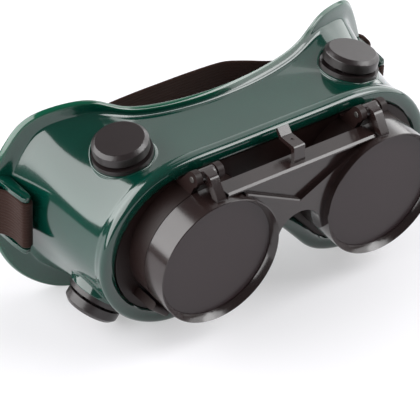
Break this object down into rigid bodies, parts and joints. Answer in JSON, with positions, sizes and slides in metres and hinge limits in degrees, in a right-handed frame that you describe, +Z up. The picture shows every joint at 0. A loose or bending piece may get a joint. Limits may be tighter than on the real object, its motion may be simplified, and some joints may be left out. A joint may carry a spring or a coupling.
{
  "type": "flip-up welding goggles",
  "caption": "Soft green mask goggles with vent caps and an elastic strap; a black front with round dark lenses swings up off fixed clear lenses.",
  "frame": {"origin": "on the surface the goggles stand on, in the middle of the width and of the depth at rest, with the strap", "axes": "+Z up; +X across the face towards the viewer's right; the dark lenses face -Y and lean forward by 5 degrees; the face side is at +Y"},
  "size_m": [0.1854, 0.0977, 0.0835],
  "materials": {
    "mask_pvc": "soft glossy PVC, dark green",
    "frame_plastic": "satin moulded black",
    "ring_plastic": "matt moulded black",
    "vent_plastic": "satin moulded black",
    "shade_lens": "polished, nearly opaque dark filter",
    "clear_lens": "polished clear",
    "gasket_fibre": "matt fibre",
    "pin_steel": "drawn wire",
    "strap_elastic": "woven elastic, dark brown-black",
    "slide_plastic": "matt moulded black"
  },
  "bodies": {
    "mask": {"goggle_body": "mask_pvc", "lens_frame": "frame_plastic", "clear_lens_left": "clear_lens", "clear_lens_ring_left": "ring_plastic", "lens_gasket_left": "gasket_fibre", "hinge_pin_left": "pin_steel", "clear_lens_right": "clear_lens", "clear_lens_ring_right": "ring_plastic", "lens_gasket_right": "gasket_fibre", "hinge_pin_right": "pin_steel", "vent_cap_top_left": "vent_plastic", "vent_seat_top_left": "vent_plastic", "vent_baffle_top_left": "vent_plastic", "vent_cap_top_right": "vent_plastic", "vent_seat_top_right": "vent_plastic", "vent_baffle_top_right": "vent_plastic", "vent_cap_bottom_left": "vent_plastic", "vent_seat_bottom_left": "vent_plastic", "vent_baffle_bottom_left": "vent_plastic", "vent_cap_bottom_right": "vent_plastic", "vent_seat_bottom_right": "vent_plastic", "vent_baffle_bottom_right": "vent_plastic", "strap_left": "strap_elastic", "strap_right": "strap_elastic"},
    "lift": {"lift_front": "frame_plastic", "shade_lens_left": "shade_lens", "shade_lens_right": "shade_lens", "shade_lens_ring_left": "ring_plastic", "shade_lens_ring_right": "ring_plastic"},
    "slide": {"strap_slide": "slide_plastic"}
  },
  "joints": [
    {"name": "lift_hinge", "type": "hinge", "parent": "mask", "child": "lift", "pos_m": [0, -0.03742, 0.07036], "axis": [-1, 0, 0], "range_deg": [0, 100]},
    {"name": "strap_slide_travel", "type": "slide", "parent": "mask", "child": "slide", "axis": [0.9997, -0.0249, -0.0022], "range_m": [-0.005, 0.005]}
  ]
}
